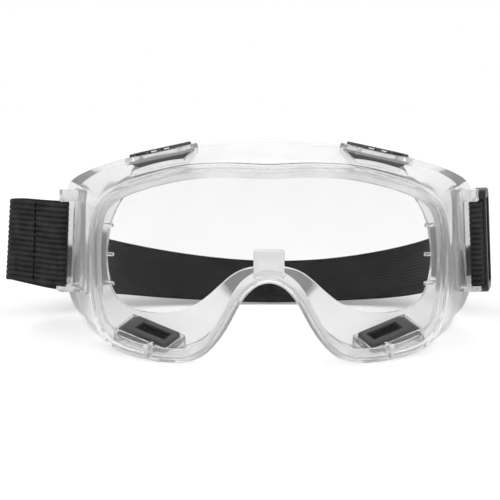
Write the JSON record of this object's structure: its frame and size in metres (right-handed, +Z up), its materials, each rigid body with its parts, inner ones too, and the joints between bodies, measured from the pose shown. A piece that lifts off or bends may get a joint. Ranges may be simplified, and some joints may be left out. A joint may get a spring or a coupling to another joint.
{
  "type": "safety goggles",
  "caption": "Clear wrap-round safety goggles with a soft moulded frame, indirect vents, side strap brackets and a wide ribbed elastic headband with a slider.",
  "frame": {"origin": "on the goggles' symmetry plane, level with the front of the lens and with the surface the rim stands on", "axes": "+X to the wearer's left, +Y from the lens towards the wearer, +Z up"},
  "size_m": [0.2318, 0.1875, 0.0947],
  "materials": {
    "clear_pvc": "clear soft vinyl, slightly milky",
    "clear_polycarbonate": "polished clear",
    "vent_plastic": "satin moulded dark grey",
    "vent_foam": "open filter foam",
    "clear_bracket": "clear hard plastic",
    "elastic": "ribbed woven elastic",
    "thread": "sewing thread",
    "slider_plastic": "satin black"
  },
  "bodies": {
    "goggles": {"frame": "clear_pvc", "lens": "clear_polycarbonate", "vent_cap_top_right": "vent_plastic", "vent_tray_top_right": "vent_plastic", "vent_foam_top_right": "vent_foam", "vent_cap_top_left": "vent_plastic", "vent_tray_top_left": "vent_plastic", "vent_foam_top_left": "vent_foam", "vent_cap_bottom_right": "vent_plastic", "vent_tray_bottom_right": "vent_plastic", "vent_foam_bottom_right": "vent_foam", "vent_cap_bottom_left": "vent_plastic", "vent_tray_bottom_left": "vent_plastic", "vent_foam_bottom_left": "vent_foam", "strap_bracket_right": "clear_bracket", "strap_bracket_left": "clear_bracket", "headband": "elastic", "loop_stitching": "thread", "tail_stitching": "thread"},
    "slider": {"strap_slider": "slider_plastic"}
  },
  "joints": [
    {"name": "slider_slide", "type": "slide", "parent": "goggles", "child": "slider", "axis": [0.2334, 0.9724, 0], "range_m": [0, 0.011]}
  ]
}
